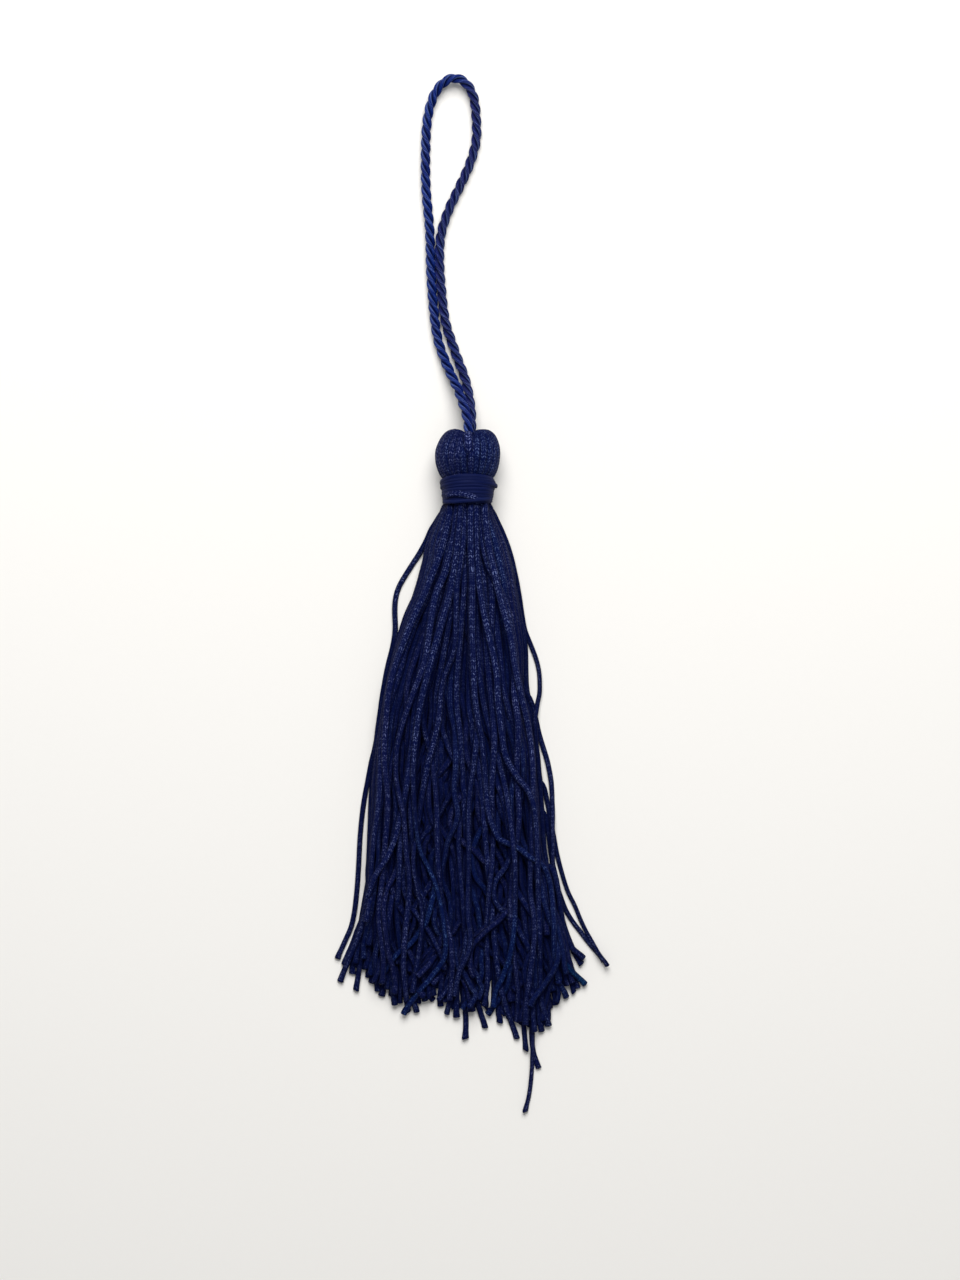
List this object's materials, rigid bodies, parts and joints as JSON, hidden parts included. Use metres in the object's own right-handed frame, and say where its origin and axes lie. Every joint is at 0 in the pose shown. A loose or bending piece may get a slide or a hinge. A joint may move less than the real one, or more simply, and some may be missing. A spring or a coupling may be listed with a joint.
{
  "type": "tassel",
  "caption": "Small navy tassel lying face up: a pumpkin-shaped head over a wound neck, a skirt of loose knitted strands with an uneven hem, and a twisted cord hanging loop.",
  "frame": {"origin": "on the surface that the tassel lies on, under the middle of the head, at the head's flat spot", "axes": "+X across the skirt, +Y along the tassel from the hem up to the hanging loop, +Z out of its face, away from the surface"},
  "size_m": [0.0383, 0.144, 0.0077],
  "materials": {
    "strand_yarn": "matte knitted rayon with a faint sheen, dark navy",
    "binding_yarn": "tightly wound knitted rayon, dark navy",
    "twisted_cord": "glossy three-ply twisted rayon cord, navy with blue highlights"
  },
  "bodies": {
    "root": {"skein": "strand_yarn", "neck_binding": "binding_yarn", "hanging_loop": "twisted_cord"}
  },
  "joints": []
}
